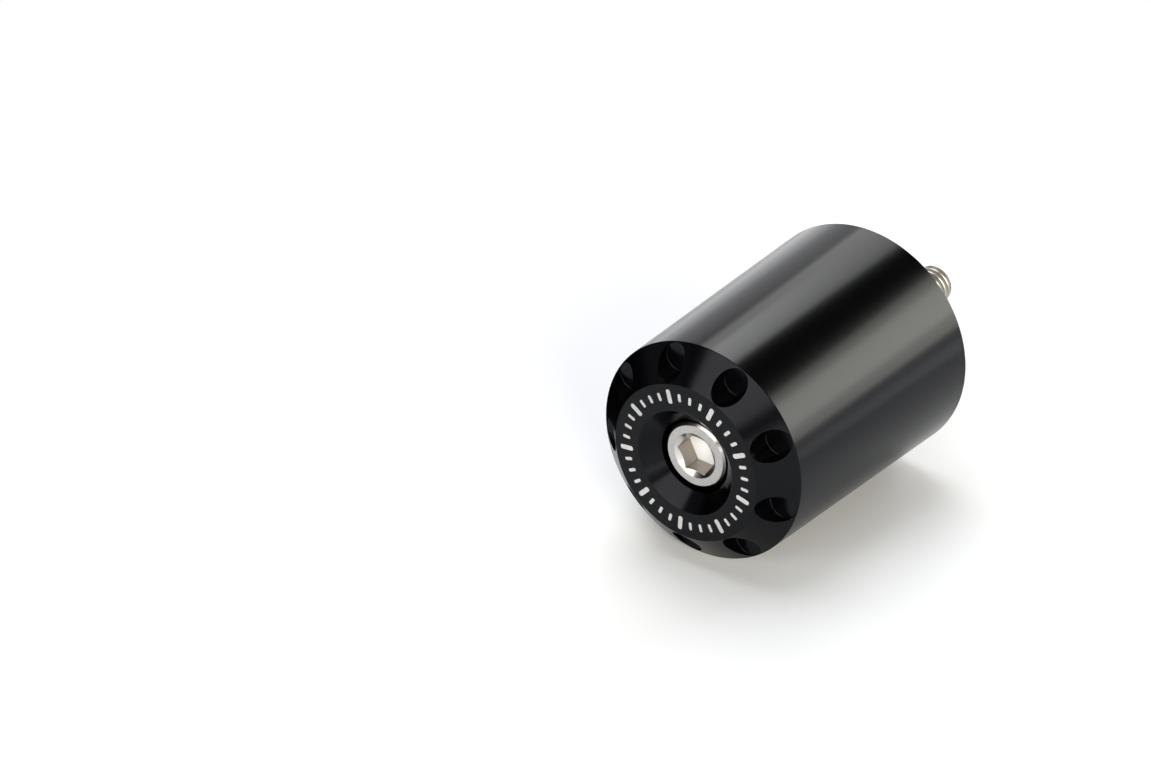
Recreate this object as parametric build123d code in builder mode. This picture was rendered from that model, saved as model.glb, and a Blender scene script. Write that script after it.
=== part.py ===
"""Bar end weight: a tapered turned body and the socket cap screw that clamps it to a handlebar end.

The axis lies along Y. The front face looks towards -Y, the screw leaves the rear face towards +Y,
and the origin is the centre of the rear face, which seats on the bar.
"""
import os
from math import radians, tan

from build123d import *

# Driving dimensions, in millimetres and degrees

# Turned body
body_length = 43.7
rear_diameter = 35.0
front_diameter = 32.5  # at the front end of the tapered barrel
bevel_depth = 3.9  # of the wide front bevel, along the axis
ring_diameter = 23.4  # outside of the flat front ring
rear_edge_break = 0.1

# Flat-bottomed pockets milled into the bevel, parallel to the axis
pocket_count = 9
pocket_diameter = 4.4
first_pocket_angle = 106.6  # from +X towards +Z

# Recess, counterbore and bore for the screw
recess_diameter = 15.5
recess_angle = 90.0  # full angle of the cone
counterbore_diameter = 11.0
bore_clearance = 0.3  # round the thread
head_sink = 2.3  # of the top of the screw head below the front ring

# Socket cap screw
thread_diameter = 6.0
thread_reach = 20.5  # out of the rear face
thread_tip_chamfer = 0.7
shank_diameter = 5.35  # plain stretch between head and thread
head_diameter = 9.9
head_height = 6.0
head_edge_chamfer = 0.4
socket_sides = 6
socket_across_flats = 5.35  # a loose fit for a 5 mm key
socket_depth = 3.2
socket_corner_angle = 178.0  # of one corner, from +X towards +Z
socket_mouth_diameter = 6.8
socket_mouth_angle = 110.0  # full angle of the countersink

# Worked out from them
front_y = -body_length
barrel_front_y = front_y + bevel_depth
head_top_y = front_y + head_sink
head_seat_y = head_top_y + head_height
bore_diameter = thread_diameter + 2 * bore_clearance
pocket_pitch_diameter = (front_diameter + ring_diameter) / 2
recess_depth = (recess_diameter - counterbore_diameter) / 2 / tan(radians(recess_angle / 2))
socket_mouth_depth = socket_mouth_diameter / 2 / tan(radians(socket_mouth_angle / 2))

# Faces across the axis that look forward, out of the front
front_plane = Plane.XZ.offset(-front_y)
head_top_plane = Plane.XZ.offset(-head_top_y)


# Body: one turned piece, revolved from its half section, then milled
with BuildPart() as weight_body:
    with BuildSketch(Plane.XY):
        with BuildLine():
            Polyline(
                (bore_diameter / 2, 0),
                (rear_diameter / 2, 0),
                (front_diameter / 2, barrel_front_y),
                (ring_diameter / 2, front_y),
                (recess_diameter / 2, front_y),
                (counterbore_diameter / 2, front_y + recess_depth),
                (counterbore_diameter / 2, head_seat_y),
                (bore_diameter / 2, head_seat_y),
                close=True,
            )
        make_face()
    revolve(axis=Axis.Y)

    rear_rim = weight_body.edges().filter_by(GeomType.CIRCLE).sort_by(SortBy.RADIUS)[-1]
    chamfer(rear_rim, rear_edge_break)

    # The pocket floors lie level with the front end of the barrel
    with BuildSketch(front_plane):
        with PolarLocations(pocket_pitch_diameter / 2, pocket_count, first_pocket_angle):
            Circle(pocket_diameter / 2)
    extrude(amount=-bevel_depth, mode=Mode.SUBTRACT)

weight_body.part.label = "weight_body"


# Screw: head on the floor of the counterbore, thread from the rear face outwards
with BuildPart() as mounting_screw:
    with BuildSketch(Plane.XY):
        with BuildLine():
            Polyline(
                (0, head_top_y),
                (head_diameter / 2, head_top_y),
                (head_diameter / 2, head_seat_y),
                (shank_diameter / 2, head_seat_y),
                (shank_diameter / 2, 0),
                (thread_diameter / 2, 0),
                (thread_diameter / 2, thread_reach - thread_tip_chamfer),
                (thread_diameter / 2 - thread_tip_chamfer, thread_reach),
                (0, thread_reach),
                close=True,
            )
        make_face()
    revolve(axis=Axis.Y)

    head_rim = mounting_screw.edges().filter_by(GeomType.CIRCLE).sort_by(Axis.Y)[0]
    chamfer(head_rim, head_edge_chamfer)

    with BuildSketch(head_top_plane):
        RegularPolygon(
            socket_across_flats / 2, socket_sides, major_radius=False, rotation=socket_corner_angle
        )
    extrude(amount=-socket_depth, mode=Mode.SUBTRACT)

    with BuildSketch(Plane.XY):
        with BuildLine():
            Polyline(
                (0, head_top_y),
                (socket_mouth_diameter / 2, head_top_y),
                (0, head_top_y + socket_mouth_depth),
                close=True,
            )
        make_face()
    revolve(axis=Axis.Y, mode=Mode.SUBTRACT)

mounting_screw.part.label = "mounting_screw"


os.makedirs("parts", exist_ok=True)
export_step(weight_body.part, "parts/weight_body.step")
export_step(mounting_screw.part, "parts/mounting_screw.step")
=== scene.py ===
from math import atan, cos, degrees, pi, radians, sin, tan

import bmesh
import bpy
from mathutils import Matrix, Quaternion, Vector


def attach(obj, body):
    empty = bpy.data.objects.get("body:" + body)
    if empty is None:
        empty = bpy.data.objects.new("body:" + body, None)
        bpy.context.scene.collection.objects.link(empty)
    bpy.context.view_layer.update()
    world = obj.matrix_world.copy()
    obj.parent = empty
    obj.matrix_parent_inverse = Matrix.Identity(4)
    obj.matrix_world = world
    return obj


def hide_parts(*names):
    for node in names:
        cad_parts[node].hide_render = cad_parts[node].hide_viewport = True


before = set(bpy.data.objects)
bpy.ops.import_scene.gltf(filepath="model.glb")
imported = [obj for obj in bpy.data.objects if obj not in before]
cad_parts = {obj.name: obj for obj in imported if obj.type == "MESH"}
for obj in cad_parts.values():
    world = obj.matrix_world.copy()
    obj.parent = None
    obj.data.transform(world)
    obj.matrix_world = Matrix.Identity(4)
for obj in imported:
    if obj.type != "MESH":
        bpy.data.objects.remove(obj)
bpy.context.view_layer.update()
mm = 0.001
mergeGap = 1e-6  # metres, under which vertices count as one
print("frame loaded:", ", ".join(sorted(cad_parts)))


# selecting and settling

def deselectAll():
    bpy.ops.object.select_all(action="DESELECT")


def activate(piece):
    deselectAll()
    piece.select_set(True)
    bpy.context.view_layer.objects.active = piece


def settle(name):
    # the new primitive keeps its place in its mesh, with its object at the origin
    piece = bpy.context.object
    piece.name = name
    piece.data.name = name
    bpy.ops.object.transform_apply(location=True, rotation=True, scale=True)
    return piece


def startEdit(piece, kind="VERT"):
    activate(piece)
    bpy.ops.object.mode_set(mode="EDIT")
    bpy.ops.mesh.select_mode(type=kind)


def endEdit():
    bpy.ops.object.mode_set(mode="OBJECT")


def pick(piece, kind, test):
    bpy.ops.mesh.select_mode(type=kind)
    bpy.ops.mesh.select_all(action="DESELECT")
    mesh = bmesh.from_edit_mesh(piece.data)
    for item in {"VERT": mesh.verts, "EDGE": mesh.edges, "FACE": mesh.faces}[kind]:
        item.select_set(test(item))
    mesh.select_flush_mode()
    bmesh.update_edit_mesh(piece.data)


def closeUp():
    # seams and poles are merged, then the faces are turned outwards
    bpy.ops.mesh.select_all(action="SELECT")
    bpy.ops.mesh.remove_doubles(threshold=mergeGap)
    bpy.ops.mesh.normals_make_consistent(inside=False)


def repeatRound(count):
    # copies of what is selected, spread evenly round the axis
    spread = 2 * pi * (count - 1) / count
    bpy.ops.mesh.spin(steps=count - 1, dupli=True, angle=spread, center=(0, 0, 0), axis=(0, 1, 0))


def applyTool(piece, kind, **settings):
    activate(piece)
    tool = piece.modifiers.new(kind.lower(), kind)
    for key, value in settings.items():
        setattr(tool, key, value)
    bpy.ops.object.modifier_apply(modifier=tool.name)


def combine(piece, other, operation):
    applyTool(piece, "BOOLEAN", operation=operation, object=other, solver="EXACT")
    bpy.data.objects.remove(other)


def smoothBy(piece, angle):
    activate(piece)
    bpy.ops.object.shade_smooth_by_angle(angle=radians(angle))


# turning: sections are lists of (radius, place along Y)

def easedCorner(before, corner, after, size):
    corner = Vector(corner)
    towards = [(Vector(other) - corner).normalized() for other in (before, after)]
    return [tuple(corner + way * size) for way in towards]


def arcPoints(centre, radius, start, end, count):
    turns = [radians(start + (end - start) * k / count) for k in range(count + 1)]
    return [(centre[0] + radius * cos(turn), centre[1] + radius * sin(turn)) for turn in turns]


def drawSection(name, section):
    # one vertex is pulled from point to point
    deselectAll()
    bpy.ops.mesh.primitive_plane_add(size=mm, location=(section[0][0], section[0][1], 0))
    piece = settle(name)
    startEdit(piece)
    bpy.ops.mesh.select_all(action="SELECT")
    bpy.ops.mesh.merge(type="CENTER")
    for here, there in zip(section, section[1:]):
        pull = (there[0] - here[0], there[1] - here[1], 0)
        bpy.ops.mesh.extrude_region_move(TRANSFORM_OT_translate={"value": pull})
    endEdit()
    return piece


def turned(name, section, steps):
    piece = drawSection(name, section)
    startEdit(piece)
    bpy.ops.mesh.select_all(action="SELECT")
    bpy.ops.mesh.spin(steps=steps, angle=2 * pi, center=(0, 0, 0), axis=(0, 1, 0))
    closeUp()
    endEdit()
    return piece


# shader maths: a wire is one output socket, and sums on wires add their nodes

class Wire:
    def __init__(self, paint, socket):
        self.paint = paint
        self.socket = socket

    def __add__(self, other):
        return self.paint.sum("ADD", self, other)

    def __radd__(self, other):
        return self.paint.sum("ADD", other, self)

    def __sub__(self, other):
        return self.paint.sum("SUBTRACT", self, other)

    def __rsub__(self, other):
        return self.paint.sum("SUBTRACT", other, self)

    def __mul__(self, other):
        return self.paint.sum("MULTIPLY", self, other)

    def __rmul__(self, other):
        return self.paint.sum("MULTIPLY", other, self)

    def __truediv__(self, other):
        return self.paint.sum("DIVIDE", self, other)

    def __pow__(self, other):
        return self.paint.sum("POWER", self, other)


class Paint:
    def __init__(self, name):
        self.material = bpy.data.materials.new(name)
        self.material.use_nodes = True
        self.tree = self.material.node_tree
        self.tree.nodes.clear()

    def add(self, kind, settings=None, inputs=None, output=0):
        node = self.tree.nodes.new(kind)
        for key, value in (settings or {}).items():
            setattr(node, key, value)
        for key, value in (inputs or {}).items():
            if isinstance(value, Wire):
                self.tree.links.new(value.socket, node.inputs[key])
            else:
                node.inputs[key].default_value = value
        return Wire(self, node.outputs[output])

    def sum(self, operation, first, second):
        return self.add("ShaderNodeMath", {"operation": operation}, {0: first, 1: second})

    def blend(self, factor, first, second):
        return self.add("ShaderNodeMix", {"data_type": "RGBA"}, {0: factor, 6: first, 7: second}, 2)

    def mixture(self, first, second, share):
        # the share is the first one's
        return first * share + second * (1 - share)

    def ramp(self, value, low, high):
        # 0 below low, 1 above high, smooth between
        inputs = {"Value": value, "From Min": low, "From Max": high}
        return self.add("ShaderNodeMapRange", {"interpolation_type": "SMOOTHSTEP"}, inputs)

    def place(self):
        return self.add("ShaderNodeTexCoord", output="Object")

    def noise(self, place, scale, detail=2.0, roughness=0.5):
        inputs = {"Vector": place, "Scale": scale, "Detail": detail, "Roughness": roughness}
        return self.add("ShaderNodeTexNoise", None, inputs)

    def parts(self, place):
        apart = self.add("ShaderNodeSeparateXYZ", None, {0: place})
        return [Wire(self, part) for part in apart.socket.node.outputs]

    def lathe(self):
        # radius and place along the axis: patterns on them run round the axis as tool marks do
        x, y, z = self.parts(self.place())
        return (x * x + z * z) ** 0.5, y

    def lathePlace(self):
        radius, along = self.lathe()
        return self.add("ShaderNodeCombineXYZ", None, {0: radius, 1: along})

    def bump(self, height, distance):
        return self.add("ShaderNodeBump", None, {"Height": height, "Distance": distance, "Strength": 1.0})

    def finish(self, shader):
        output = self.tree.nodes.new("ShaderNodeOutputMaterial")
        self.tree.links.new(shader.socket, output.inputs["Surface"])
        return self.material


def blackAnodised():
    look = {
        "black": (0.0003, 0.0004, 0.0006, 1),
        "grey": (0.0011, 0.0012, 0.0015, 1),
        "ior": 1.30,
        "tint": (0.84, 0.88, 1.0, 1),
        "roughness": 0.18,
        "roughnessSpread": 0.05,  # to either side
        "ringScale": 2600.0,  # tool marks, about 0.4 mm apart
        "ringDetail": (3.0, 0.6),
        "grainScale": 5200.0,  # etched grain under the colour
        "grainDetail": (2.0, 0.6),
        "cloudScale": 140.0,
        "grainInShade": 0.7,  # the rest is cloud
        "ringsInRoughness": 0.5,  # the rest is grain
        "ringsInRelief": 0.25,
        "reliefHeight": 0.0020,  # millimetres
    }
    paint = Paint("blackAnodised")
    place = paint.place()
    rings = paint.noise(paint.lathePlace(), look["ringScale"], *look["ringDetail"])
    grain = paint.noise(place, look["grainScale"], *look["grainDetail"])
    cloud = paint.noise(place, look["cloudScale"])
    shade = paint.blend(paint.mixture(grain, cloud, look["grainInShade"]), look["black"], look["grey"])
    uneven = paint.mixture(rings, grain, look["ringsInRoughness"]) * 2 - 1
    relief = paint.mixture(rings, grain, look["ringsInRelief"])
    shader = paint.add("ShaderNodeBsdfPrincipled", None, {
        "Base Color": shade,
        "Roughness": look["roughness"] + uneven * look["roughnessSpread"],
        "IOR": look["ior"],
        "Specular Tint": look["tint"],
        "Normal": paint.bump(relief, look["reliefHeight"] * mm),
    })
    return paint.finish(shader)


def brightStainless(size):
    look = {
        "light": (0.66, 0.65, 0.63, 1),
        "dark": (0.48, 0.47, 0.45, 1),
        "thread": (0.66, 0.62, 0.57, 1),
        "wall": (0.36, 0.33, 0.29, 1),  # darker walls inside the socket
        "paintedHighlight": (0.84, 0.82, 0.79, 1),  # painted highlight on the countersink of the socket
        "floor": (0.97, 0.95, 0.91, 1),  # dull floor of the socket
        "roughness": 0.20,
        "wallRoughness": 0.40,
        "threadRoughness": 0.32,
        "roughnessSpread": 0.06,  # to either side
        "ringScale": 3400.0,
        "ringDetail": (2.0, 0.6),
        "stainScale": 900.0,
        "stainDetail": (4.0, 0.6),
        "fleckScale": 3000.0,
        "fleckDetail": (3.0, 0.6),
        "fleckRange": (0.3, 0.7),
        "stainInShade": 0.5,  # the rest is fleck
        "stainInPaintedHighlight": 0.2,  # share of the countersink's painted highlight that varies with the stain
        "stainInRoughness": 0.6,  # the rest is rings
        "stainInRelief": 0.5,
        "reliefHeight": 0.004,  # millimetres
    }
    # where one finish turns into the next, in millimetres
    border = {
        "mouth": (-0.02, 0.02),  # outwards from the rim of the socket
        "cone": (0.02, 0.06),  # backwards from the countersink
        "floorFront": (-0.015, -0.005),  # backwards from the floor of the socket
        "floorBack": (0.1, 0.2),  # the same, where the socket's finishes end
        "thread": (-4.0, -2.0),  # along Y
    }
    paint = Paint("brightStainless")
    place = paint.place()
    radius, along = (part / mm for part in paint.lathe())
    depth = along - size["headTop"]
    behindFloor = depth - size["socketDepth"]
    cone = (size["mouthRadius"] - radius) / tan(radians(size["mouthAngle"] / 2))
    inside = 1 - paint.ramp(radius - size["mouthRadius"], *border["mouth"])
    socket = inside * (1 - paint.ramp(behindFloor, *border["floorBack"]))
    floor = socket * paint.ramp(behindFloor, *border["floorFront"])
    below = paint.ramp(depth - cone, *border["cone"])
    wall = socket * below * (1 - floor)
    # the countersink, where the painted highlight goes
    paintedHighlight = socket * (1 - below)
    thread = paint.ramp(along, *border["thread"])
    rings = paint.noise(paint.lathePlace(), look["ringScale"], *look["ringDetail"])
    stain = paint.noise(place, look["stainScale"], *look["stainDetail"])
    fleck = paint.ramp(paint.noise(place, look["fleckScale"], *look["fleckDetail"]), *look["fleckRange"])
    shade = paint.blend(paint.mixture(stain, fleck, look["stainInShade"]), look["dark"], look["light"])
    shade = paint.blend(thread, shade, look["thread"])
    shade = paint.blend(wall, shade, look["wall"])
    # painted highlight: the countersink is coloured lighter than the metal
    shade = paint.blend(paintedHighlight * (1 - (1 - stain) * look["stainInPaintedHighlight"]), shade, look["paintedHighlight"])
    shade = paint.blend(floor, shade, look["floor"])
    uneven = paint.mixture(stain, rings, look["stainInRoughness"]) * 2 - 1
    rough = look["roughness"] + uneven * look["roughnessSpread"]
    rough = rough + wall * (look["wallRoughness"] - look["roughness"])
    rough = rough + thread * (look["threadRoughness"] - look["roughness"])
    relief = paint.mixture(stain, rings, look["stainInRelief"])
    shader = paint.add("ShaderNodeBsdfPrincipled", None, {
        "Base Color": shade,
        "Metallic": 1 - floor,
        "Roughness": rough,
        "Normal": paint.bump(relief, look["reliefHeight"] * mm),
    })
    return paint.finish(shader)


def bareMetal():
    look = {
        "bright": (0.90, 0.89, 0.87, 1),
        "dull": (0.74, 0.73, 0.71, 1),
        "roughness": 0.5,
        "coverScale": 3000.0,
        "coverDetail": (3.0, 0.6),
        "coverRange": (0.25, 0.55),
        "reliefHeight": 0.004,  # millimetres
    }
    paint = Paint("bareMetal")
    cover = paint.noise(paint.place(), look["coverScale"], *look["coverDetail"])
    shader = paint.add("ShaderNodeBsdfPrincipled", None, {
        "Base Color": paint.blend(paint.ramp(cover, *look["coverRange"]), look["dull"], look["bright"]),
        "Metallic": 1.0,
        "Roughness": look["roughness"],
        "Normal": paint.bump(cover, look["reliefHeight"] * mm),
    })
    return paint.finish(shader)


def give(piece, material):
    piece.data.materials.clear()
    piece.data.materials.append(material)


# the turned and milled weight, sizes in millimetres

weight = {
    "length": 43.7,
    "rearRadius": 17.493,
    "frontRadius": 16.25,
    "bevelDepth": 3.9,
    "ringRadius": 11.7,
    "recessRadius": 7.75,
    "counterboreRadius": 5.5,
    "recessDepth": 2.25,
    "headSeat": 8.3,  # floor of the counterbore behind the front ring
    "boreRadius": 3.3,
    "rearEdge": 0.1,
    "fineEdge": 0.05,
    "pocketCount": 9,
    "pocketRadius": 2.2,
    "firstPocket": 106.6,  # degrees from +X towards +Z
    "pocketCorner": 0.18,  # round the pocket floors
    "turnSteps": 288,
    "pocketSteps": 72,
    "cornerSteps": 8,
    "smoothAngle": 14,
}


def weightSection(size):
    front = -size["length"]
    barrelFront = front + size["bevelDepth"]
    bore = (size["boreRadius"], 0)
    rear = (size["rearRadius"], 0)
    shoulder = (size["frontRadius"], barrelFront)
    ringEdge = (size["ringRadius"], front)
    mouth = (size["recessRadius"], front)
    throat = (size["counterboreRadius"], front + size["recessDepth"])
    seat = front + size["headSeat"]
    section = [bore]
    section += easedCorner(bore, rear, shoulder, size["rearEdge"])
    section += easedCorner(rear, shoulder, ringEdge, size["fineEdge"])
    section += easedCorner(shoulder, ringEdge, mouth, size["fineEdge"])
    section += easedCorner(ringEdge, mouth, throat, size["fineEdge"])
    section += [throat, (size["counterboreRadius"], seat), (size["boreRadius"], seat), bore]
    return [(radius * mm, along * mm) for radius, along in section]


def pocketCutter(size):
    floorY = (size["bevelDepth"] - size["length"]) * mm
    pitch = (size["frontRadius"] + size["ringRadius"]) / 2 * mm
    turn = radians(size["firstPocket"])
    depth = 2 * size["bevelDepth"] * mm
    deselectAll()
    bpy.ops.mesh.primitive_cylinder_add(
        vertices=size["pocketSteps"],
        radius=size["pocketRadius"] * mm,
        depth=depth,
        location=(pitch * cos(turn), floorY - depth / 2, pitch * sin(turn)),
        rotation=(pi / 2, 0, 0),
    )
    cutter = settle("pocketCutter")
    startEdit(cutter, "EDGE")
    pick(cutter, "EDGE", lambda edge: all(abs(v.co.y - floorY) < mergeGap for v in edge.verts))
    bpy.ops.mesh.bevel(offset=size["pocketCorner"] * mm, segments=size["cornerSteps"])
    bpy.ops.mesh.select_all(action="SELECT")
    repeatRound(size["pocketCount"])
    endEdit()
    return cutter


def makeWeight():
    piece = turned("weightBody", weightSection(weight), weight["turnSteps"])
    combine(piece, pocketCutter(weight), "DIFFERENCE")
    combine(piece, markBars("markCutter", -marks["clear"], marks["engraved"]), "DIFFERENCE")
    smoothBy(piece, weight["smoothAngle"])
    give(piece, blackAnodised())
    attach(piece, "root")
    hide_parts("weight_body")
    print("weight turned and milled:", len(piece.data.polygons), "faces")


# the socket cap screw, sizes in millimetres

screw = {
    "headRadius": 4.95,
    "headTop": -41.4,  # along Y
    "headHeight": 6.0,
    "rimChamfer": 0.4,
    "rimEase": 0.06,
    "knurlStart": 0.9,
    "underEdge": 0.3,
    "knurlTeeth": 64,
    "knurlColumns": 4,  # to each tooth
    "knurlDepth": 0.16,
    "socketSides": 6,
    "socketFlats": 5.35,
    "socketDepth": 3.2,
    "socketTurn": 178.0,  # degrees of one corner from +X towards +Z
    "mouthRadius": 3.4,
    "mouthAngle": 110.0,
    "mouthLift": 0.5,  # of the countersink's cutter before the head
    "mouthSteps": 96,
    "shankRadius": 2.675,
    "reach": 20.5,
    "tipChamfer": 0.7,
    "tipClear": 0.2,  # round the thread
    "tipSteps": 128,
    "threadRadius": 3.0,
    "threadRoot": 2.387,
    "pitch": 1.0,
    "flankAngle": 30.0,  # of one flank
    "crestShare": 0.125,  # of the pitch
    "threadLength": 24.0,
    "threadSteps": 64,
    "smoothAngle": 14,
}


def screwBlank(size):
    top = size["headTop"]
    seat = top + size["headHeight"]
    radius = size["headRadius"]
    shankEnd = size["reach"] - size["threadLength"] + size["pitch"]
    faceEdge = (radius - size["rimChamfer"], top)
    sideEdge = (radius, top + size["rimChamfer"])
    knurlTop = (radius, top + size["knurlStart"])
    section = [(0, top)]
    section += easedCorner((0, top), faceEdge, sideEdge, size["rimEase"])
    section += easedCorner(faceEdge, sideEdge, knurlTop, size["rimEase"])
    section += [knurlTop, (radius, seat - 2 * size["underEdge"])]
    section += [(radius, seat - size["underEdge"]), (radius - size["underEdge"], seat)]
    section += [(size["shankRadius"], seat), (size["shankRadius"], shankEnd), (0, shankEnd)]
    columns = size["knurlTeeth"] * size["knurlColumns"]
    blank = turned("mountingScrew", [(r * mm, y * mm) for r, y in section], columns)
    knurlHead(blank, size)
    return blank


def knurlHead(blank, size):
    # on the side of the head, half the columns of each tooth are pressed in
    low = (size["headTop"] + size["knurlStart"]) * mm - mergeGap
    high = (size["headTop"] + size["headHeight"] - 2 * size["underEdge"]) * mm + mergeGap
    outside = size["headRadius"] * mm - mergeGap
    columns = size["knurlColumns"]
    column = 2 * pi / (size["knurlTeeth"] * columns)

    def pressed(vertex):
        across = Vector((vertex.co.x, vertex.co.z))
        onSide = low < vertex.co.y < high and across.length > outside
        turn = Vector((1, 0)).angle_signed(across, 0)
        return onSide and round(turn / column) % columns < columns / 2

    share = 1 - size["knurlDepth"] / size["headRadius"]
    startEdit(blank)
    pick(blank, "VERT", pressed)
    bpy.ops.transform.resize(value=(share, 1, share), center_override=(0, 0, 0))
    endEdit()


def hexCutter(size):
    sides = size["socketSides"]
    deselectAll()
    # the corner that stands on +Y is laid towards +Z, then turned to its place
    bpy.ops.mesh.primitive_cylinder_add(
        vertices=sides,
        radius=size["socketFlats"] / 2 / cos(pi / sides) * mm,
        depth=2 * size["socketDepth"] * mm,
        location=(0, size["headTop"] * mm, 0),
        rotation=(pi / 2, pi / 2 - radians(size["socketTurn"]), 0),
    )
    return settle("hexCutter")


def mouthCutter(size):
    top = size["headTop"] * mm
    radius = size["mouthRadius"] * mm
    slope = tan(radians(size["mouthAngle"] / 2))
    lift = size["mouthLift"] * mm
    section = [(0, top - lift), (radius + lift * slope, top - lift), (0, top + radius / slope)]
    return turned("mouthCutter", section, size["mouthSteps"])


def threadRod(size):
    # one turn of the thread's outline, wound up by a screw modifier and cut flat at both ends
    pitch = size["pitch"]
    root = size["threadRoot"]
    crest = size["threadRadius"]
    flank = (crest - root) * tan(radians(size["flankAngle"]))
    crestFlat = pitch * size["crestShare"]
    rootFlat = pitch - crestFlat - 2 * flank
    start = size["reach"] - size["threadLength"] - pitch
    outline = [(root, start), (root, start + rootFlat), (crest, start + rootFlat + flank)]
    outline += [(crest, start + rootFlat + flank + crestFlat), (root, start + pitch)]
    rod = drawSection("threadRod", [(r * mm, y * mm) for r, y in outline])
    turns = round(size["threadLength"] / pitch) + 2
    applyTool(
        rod, "SCREW", axis="Y", angle=2 * pi, screw_offset=pitch * mm, iterations=turns,
        steps=size["threadSteps"], render_steps=size["threadSteps"],
        use_merge_vertices=True, merge_threshold=mergeGap,
    )
    startEdit(rod)
    for place, outward in ((start + 2 * pitch, -1), (size["reach"], 1)):
        bpy.ops.mesh.select_all(action="SELECT")
        bpy.ops.mesh.bisect(
            plane_co=(0, place * mm, 0), plane_no=(0, outward, 0),
            use_fill=True, clear_outer=True, threshold=mergeGap,
        )
    closeUp()
    endEdit()
    return rod


def tipEnvelope(size):
    # reaches well past the start of the rod, and chamfers its end
    radius = size["threadRadius"] + size["tipClear"]
    chamfer = size["tipChamfer"] + size["tipClear"]
    start = -2 * size["threadLength"]
    end = size["reach"]
    section = [(0, start), (radius, start), (radius, end - chamfer), (radius - chamfer, end), (0, end)]
    return turned("tipEnvelope", [(r * mm, y * mm) for r, y in section], size["tipSteps"])


def makeScrew():
    piece = screwBlank(screw)
    combine(piece, hexCutter(screw), "DIFFERENCE")
    combine(piece, mouthCutter(screw), "DIFFERENCE")
    rod = threadRod(screw)
    combine(rod, tipEnvelope(screw), "INTERSECT")
    combine(piece, rod, "UNION")
    smoothBy(piece, screw["smoothAngle"])
    give(piece, brightStainless(screw))
    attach(piece, "root")
    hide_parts("mounting_screw")
    print("screw turned, knurled and threaded:", len(piece.data.polygons), "faces")


# bright index marks engraved in the front ring, sizes in millimetres

marks = {
    "long": {"inner": 8.75, "outer": 10.85, "width": 0.70},
    "short": {"inner": 9.2, "outer": 10.4, "width": 0.48},
    "perPocket": 4,
    "corner": 0.42,  # share of the width that rounds the ends
    "cornerSteps": 4,
    "clear": 0.2,  # of the cutter before the ring
    "engraved": 0.02,
    "sunk": 0.008,
    "depth": 0.06,
}


def markBar(name, size, turn, top, bottom):
    # top and bottom lie behind the face of the ring
    face = -weight["length"]
    deselectAll()
    bpy.ops.mesh.primitive_cube_add(
        size=mm,
        location=((size["inner"] + size["outer"]) / 2 * mm, (face + (top + bottom) / 2) * mm, 0),
        scale=(size["outer"] - size["inner"], bottom - top, size["width"]),
    )
    bar = settle(name)
    startEdit(bar, "EDGE")
    half = (bottom - top) / 2 * mm
    pick(bar, "EDGE", lambda edge: abs(edge.verts[0].co.y - edge.verts[1].co.y) > half)
    bpy.ops.mesh.bevel(offset=marks["corner"] * size["width"] * mm, segments=marks["cornerSteps"])
    bpy.ops.mesh.select_all(action="SELECT")
    bpy.ops.transform.rotate(value=turn, orient_axis="Y", center_override=(0, 0, 0))
    repeatRound(weight["pocketCount"])
    endEdit()
    return bar


def markBars(name, top, bottom):
    # a long bar at each pocket and short ones between
    first = radians(weight["firstPocket"])
    step = 2 * pi / weight["pocketCount"] / marks["perPocket"]
    piece = markBar(name, marks["long"], first, top, bottom)
    bars = []
    for k in range(1, marks["perPocket"]):
        bars.append(markBar(f"{name}{k}", marks["short"], first + k * step, top, bottom))
    activate(piece)
    for bar in bars:
        bar.select_set(True)
    bpy.ops.object.join()
    return piece


def makeMarks():
    piece = markBars("frontMarks", marks["sunk"], marks["depth"])
    give(piece, bareMetal())
    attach(piece, "root")
    print("front marks set:", len(piece.data.polygons), "faces")


# floor: a round white sweep that rises behind, lying along the lowest line of the barrel

studio = {
    "radius": 1.5,
    "turnSteps": 96,
    "rimBend": 0.5,
    "bendSteps": 16,
    "rimMiddle": 0.60,
    "rimSlope": 0.2,  # the rim is cut higher at the back
    "smoothAngle": 40,
    "paper": (0.90, 0.90, 0.90, 1),
    "paperMirrored": (0.70, 0.70, 0.70, 1),  # as the metal shows it
    "nearRadius": 0.075,
    "farRadius": 0.16,
    "roomColour": (0.85, 0.92, 1.0, 1),
    "roomLevel": 0.012,
}


def floorPaper():
    # lit paper near the object turns into plain white far away, for rays that are seen
    paint = Paint("floorPaper")
    away = paint.add("ShaderNodeVectorMath", {"operation": "LENGTH"}, {0: paint.place()}, "Value")
    far = paint.ramp(away, studio["nearRadius"], studio["farRadius"])
    rays = paint.add("ShaderNodeLightPath").socket.node.outputs
    camera = Wire(paint, rays["Is Camera Ray"])
    mirrored = Wire(paint, rays["Is Glossy Ray"]) + Wire(paint, rays["Is Transmission Ray"])
    paper = paint.add("ShaderNodeBsdfDiffuse", None, {"Color": studio["paper"]})
    dimmed = paint.add("ShaderNodeBsdfDiffuse", None, {"Color": studio["paperMirrored"]})
    lit = paint.add("ShaderNodeMixShader", None, {0: mirrored, 1: paper, 2: dimmed})
    white = paint.add("ShaderNodeEmission", None, {"Color": (1, 1, 1, 1), "Strength": 1.0})
    seen = (camera + mirrored) * far
    return paint.finish(paint.add("ShaderNodeMixShader", None, {0: seen, 1: lit, 2: white}))


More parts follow.
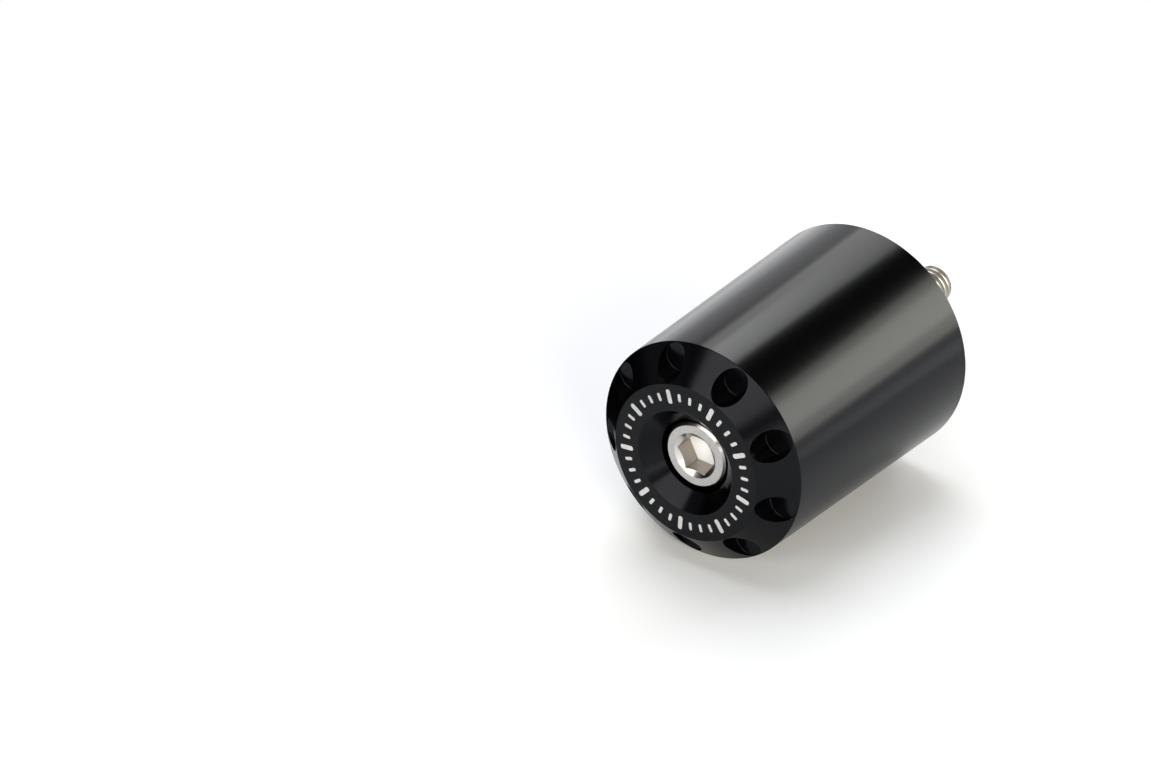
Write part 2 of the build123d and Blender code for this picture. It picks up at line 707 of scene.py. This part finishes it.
def makeFloor():
    bend = studio["rimBend"]
    centre = (studio["radius"] - bend, bend)
    top = studio["rimMiddle"] + studio["rimSlope"] * studio["radius"]
    bow = arcPoints(centre, bend, -90, 0, studio["bendSteps"])
    floor = turned("floor", [(0, 0)] + bow + [(studio["radius"], top)], studio["turnSteps"])
    # stood upright, then tipped so that it meets the barrel from end to end
    drop = (weight["rearRadius"] - weight["frontRadius"]) / (weight["length"] - weight["bevelDepth"])
    floor.rotation_euler.x = pi / 2 - atan(drop)
    floor.location.z = -weight["rearRadius"] * mm
    activate(floor)
    bpy.ops.object.transform_apply(location=True, rotation=True, scale=True)
    startEdit(floor)
    bpy.ops.mesh.select_all(action="SELECT")
    bpy.ops.mesh.bisect(
        plane_co=(0, 0, studio["rimMiddle"]), plane_no=(0, -studio["rimSlope"], 1), clear_outer=True,
    )
    endEdit()
    smoothBy(floor, studio["smoothAngle"])
    give(floor, floorPaper())
    print("floor laid, tipped by", round(degrees(atan(drop)), 2), "degrees")


# a black card stands to the left of the front, for the bevel and the recess to reflect

card = {
    "left": -38.0,
    "thickness": 2.0,
    "near": -95.0,
    "far": -22.0,
    "foot": -17.0,
    "top": 48.0,
    "edge": 0.8,
    "edgeSteps": 3,
    "low": (0.002, 0.002, 0.002, 1),
    "high": (0.15, 0.15, 0.15, 1),  # painted light: its upper part glows lighter
    "fade": (12, 20),
}


def makeCard():
    paint = Paint("blackCard")
    height = paint.parts(paint.place())[2] / mm
    # painted light: the card glows lighter towards its top, lit by no lamp
    grey = paint.blend(paint.ramp(height, *card["fade"]), card["low"], card["high"])
    middle = Vector((card["left"], (card["near"] + card["far"]) / 2, (card["foot"] + card["top"]) / 2))
    deselectAll()
    bpy.ops.mesh.primitive_cube_add(
        size=mm,
        location=middle * mm,
        scale=(card["thickness"], card["far"] - card["near"], card["top"] - card["foot"]),
    )
    board = settle("blackCard")
    startEdit(board, "EDGE")
    bpy.ops.mesh.select_all(action="SELECT")
    bpy.ops.mesh.bevel(offset=card["edge"] * mm, segments=card["edgeSteps"])
    endEdit()
    give(board, paint.finish(paint.add("ShaderNodeEmission", None, {"Color": grey, "Strength": 1.0})))
    board.visible_camera = False
    board.visible_diffuse = False
    board.visible_shadow = False
    print("card set")


# lamps: bearing from +Y towards +X and height above the floor in degrees, sizes in metres
# the metal shows the first kind, and the second kind lights the floor

sheenLamps = {
    "backLeft": {"bearing": -25.6, "height": 41.9, "roll": 34.0, "wide": 0.46, "high": 0.46,
                 "radiance": 3.15, "colour": (1.0, 0.99, 0.94)},
    "backLeftInner": {"bearing": -24.7, "height": 49.0, "roll": 34.0, "wide": 0.33, "high": 0.22,
                      "radiance": 3.6, "colour": (1.0, 0.99, 0.94)},
    "backLeftDim": {"bearing": -44, "height": 20, "roll": 0, "wide": 0.40, "high": 0.36,
                    "radiance": 0.19, "colour": (0.97, 0.98, 1.0)},
    "backLeftLow": {"bearing": -46, "height": 3.2, "roll": 0, "wide": 0.24, "high": 0.056,
                    "radiance": 0.70, "colour": (0.97, 0.98, 1.0), "distance": 0.16},
    "backRightLow": {"bearing": 53.5, "height": -5.5, "roll": 0, "wide": 0.13, "high": 0.015,
                     "radiance": 0.65, "colour": (0.97, 0.98, 1.0), "distance": 0.114},
    "frontRight": {"bearing": 132, "height": 15, "roll": 0, "wide": 0.36, "high": 0.27,
                   "radiance": 1.0, "colour": (1.0, 0.95, 0.88)},
    "frontLow": {"bearing": 172, "height": 16, "roll": 0, "wide": 0.60, "high": 0.28,
                 "radiance": 1.3, "colour": (1.0, 0.96, 0.91)},
    "front": {"bearing": 177, "height": 41.5, "roll": 0, "wide": 0.92, "high": 0.48,
              "radiance": 2.65, "colour": (1.0, 0.96, 0.91)},
    "backRight": {"bearing": 38, "height": 18.9, "roll": 0, "wide": 0.62, "high": 0.54,
                  "radiance": 4.25, "colour": (1.0, 0.97, 0.82)},
    "backRightCore": {"bearing": 38, "height": 20.5, "roll": 0, "wide": 0.62, "high": 0.30,
                      "radiance": 3.5, "colour": (1.0, 0.97, 0.82)},
}
floorLamps = {
    "rightWash": {"bearing": 122, "height": 21, "roll": 0, "wide": 0.46, "high": 0.32,
                  "radiance": 17.4, "colour": (1.0, 0.96, 0.85)},
    "topWash": {"bearing": -70, "height": 74, "roll": 0, "wide": 0.76, "high": 0.62,
                "radiance": 3.0, "colour": (0.89, 0.92, 1.0)},
    "leftWash": {"bearing": -45, "height": 38, "roll": 0, "wide": 0.76, "high": 0.46,
                 "radiance": 3.8, "colour": (1.0, 0.985, 0.93)},
    "backWash": {"bearing": 5, "height": 26, "roll": 0, "wide": 0.46, "high": 0.42,
                 "radiance": 4.6, "colour": (0.88, 0.93, 1.0)},
    "frontWash": {"bearing": -160, "height": 16, "roll": 0, "wide": 0.46, "high": 0.30,
                  "radiance": 7.0, "colour": (0.88, 0.94, 1.0)},
    "frontFill": {"bearing": 176, "height": 11, "roll": 0, "wide": 0.30, "high": 0.26,
                  "radiance": 8.5, "colour": (1.0, 0.97, 0.93)},  # for the floor of the socket
}
lampAim = Vector((0, -20 * mm, 0))  # near the middle of the weight
lampDistance = 0.9  # unless a lamp has its own


def makeLamp(name, lamp, sheen):
    bearing = radians(lamp["bearing"])
    height = radians(lamp["height"])
    towards = Vector((sin(bearing) * cos(height), cos(bearing) * cos(height), sin(height)))
    deselectAll()
    away = lamp.get("distance", lampDistance)
    bpy.ops.object.light_add(type="AREA", location=lampAim + towards * away)
    light = bpy.context.object
    light.name = name
    roll = Quaternion((0, 0, 1), -radians(lamp["roll"]))  # lifts its right-hand end
    light.rotation_euler = (towards.to_track_quat("Z", "Y") @ roll).to_euler()
    light.data.shape = "RECTANGLE"
    light.data.size = lamp["wide"]
    light.data.size_y = lamp["high"]
    light.data.color = lamp["colour"]
    light.data.energy = pi * lamp["wide"] * lamp["high"] * lamp["radiance"]  # watts for that radiance
    light.visible_camera = False
    light.visible_glossy = sheen
    light.visible_diffuse = not sheen


def makeRoom():
    world = bpy.data.worlds.new("room")
    bpy.context.scene.world = world
    world.use_nodes = True
    back = world.node_tree.nodes["Background"]
    back.inputs["Color"].default_value = studio["roomColour"]
    back.inputs["Strength"].default_value = studio["roomLevel"]
    for lamps, sheen in ((sheenLamps, True), (floorLamps, False)):
        for name, lamp in lamps.items():
            makeLamp(name, lamp, sheen)
        print("lamps hung:", ", ".join(lamps))


# camera: the photo's view, found from the circle at the front of the barrel

view = {
    "imageSize": (1151, 768),
    "focalPixels": 3200,
    "azimuth": 37.377,
    "elevation": 30.322,
    "aimAlong": -39.8,  # millimetres along Y
    "aimPixel": (701.61, 450.98),
    "distance": 434.35,  # millimetres from the lens to the aim, along the line of sight
    "sensor": 36.0,
}


def makeCamera():
    wide, high = view["imageSize"]
    azimuth = radians(view["azimuth"])
    elevation = radians(view["elevation"])
    right = Vector((cos(azimuth), sin(azimuth), 0))
    ahead = Vector((-sin(azimuth) * cos(elevation), cos(azimuth) * cos(elevation), -sin(elevation)))
    up = right.cross(ahead)
    scale = view["distance"] * mm / view["focalPixels"]
    across = (view["aimPixel"][0] - wide / 2) * scale
    above = (high / 2 - view["aimPixel"][1]) * scale
    aim = Vector((0, view["aimAlong"] * mm, 0))
    deselectAll()
    bpy.ops.object.camera_add(location=aim - ahead * view["distance"] * mm - right * across - up * above)
    camera = bpy.context.object
    camera.rotation_euler = (-ahead).to_track_quat("Z", "Y").to_euler()
    camera.data.sensor_width = view["sensor"]
    camera.data.lens = view["focalPixels"] / wide * view["sensor"]
    bpy.context.scene.camera = camera
    print("camera set at", [round(part, 4) for part in camera.location])


makeWeight()
makeScrew()
makeMarks()
makeFloor()
makeCard()
makeRoom()
makeCamera()
bpy.context.scene.view_settings.view_transform = "Standard"
